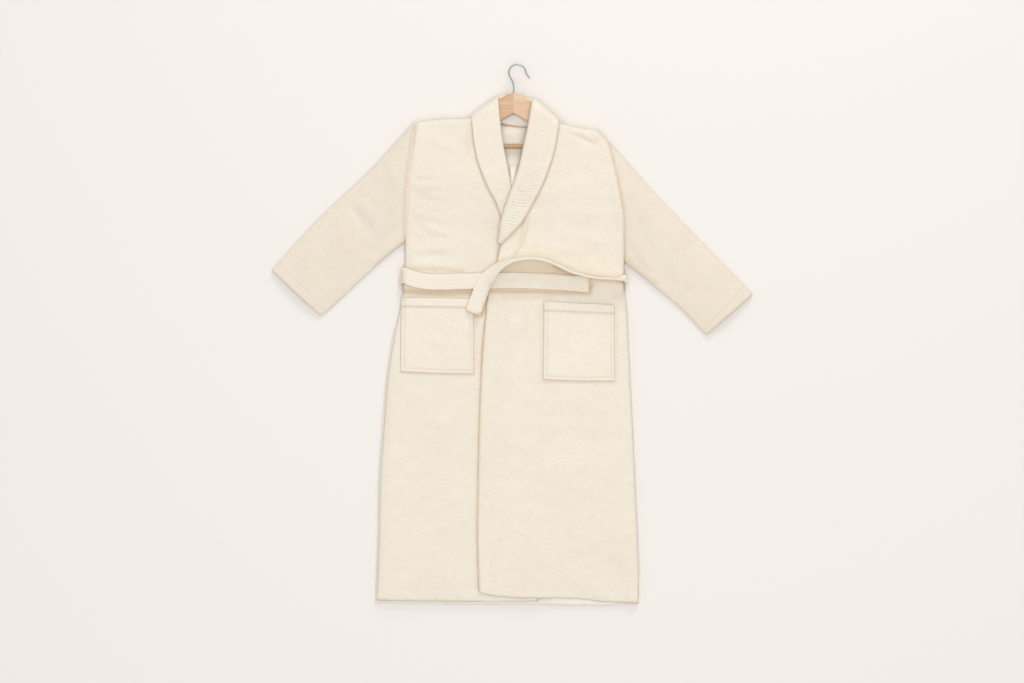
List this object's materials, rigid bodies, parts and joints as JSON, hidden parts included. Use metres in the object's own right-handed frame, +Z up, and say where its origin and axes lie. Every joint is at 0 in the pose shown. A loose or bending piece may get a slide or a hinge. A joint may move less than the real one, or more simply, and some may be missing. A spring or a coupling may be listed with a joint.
{
  "type": "bathrobe on hanger",
  "caption": "Shawl-collar terry bathrobe with patch pockets and tie belt, laid flat and open at the neck on a wooden hanger with a swivel hook.",
  "frame": {"origin": "middle of the whole object in plan, on the surface that the robe lies on", "axes": "+Z up out of the robe's front, +Y from the hem to the hook, +X to the wearer's left"},
  "size_m": [1.16, 1.3, 0.0621],
  "materials": {
    "terry": "cotton terry with a short looped pile, undyed cream",
    "ribbed_terry": "cotton terry with raised cross ribs, cream",
    "belt_terry": "flattened cotton terry with stitched rows, cream",
    "hanger_wood": "satin lacquered light wood",
    "bar_wood": "satin lacquered wood, a little darker",
    "hook_steel": "plated steel wire"
  },
  "bodies": {
    "root": {"back_panel": "terry", "right_front_panel": "terry", "left_front_panel": "terry", "collar_right_half": "ribbed_terry", "collar_left_half": "ribbed_terry", "right_pocket": "terry", "left_pocket": "terry", "belt": "belt_terry", "belt_arch": "belt_terry", "right_belt_loop": "belt_terry", "left_belt_loop": "belt_terry"},
    "right_sleeve": {"right_sleeve": "terry"},
    "left_sleeve": {"left_sleeve": "terry"},
    "belt_tail": {"belt_tail": "belt_terry"},
    "hanger": {"hanger_right_arm": "hanger_wood", "hanger_left_arm": "hanger_wood", "trouser_bar": "bar_wood", "bar_pins": "hook_steel", "centre_dowels": "hanger_wood"},
    "hook": {"hook": "hook_steel", "hook_head": "hook_steel"}
  },
  "joints": [
    {"name": "hanger_slide", "type": "slide", "parent": "root", "child": "hanger", "axis": [0, -1, 0], "range_m": [0, 0.03]},
    {"name": "hook_swivel", "type": "hinge", "parent": "hanger", "child": "hook", "pos_m": [0.004, 0.56, 0.0225], "axis": [0, -1, 0], "continuous": true},
    {"name": "right_sleeve_fold", "type": "hinge", "parent": "root", "child": "right_sleeve", "pos_m": [-0.248, 0.3665, 0.037], "axis": [0.0856, 0.9963, 0], "range_deg": [0, 160]},
    {"name": "left_sleeve_fold", "type": "hinge", "parent": "root", "child": "left_sleeve", "pos_m": [0.2618, 0.32, 0.041], "axis": [0.1146, -0.9934, 0], "range_deg": [0, 145]},
    {"name": "belt_tail_lift", "type": "hinge", "parent": "root", "child": "belt_tail", "pos_m": [-0.0135, 0.1722, 0.06], "axis": [-0.438, 0.899, 0], "range_deg": [0, 30]}
  ]
}
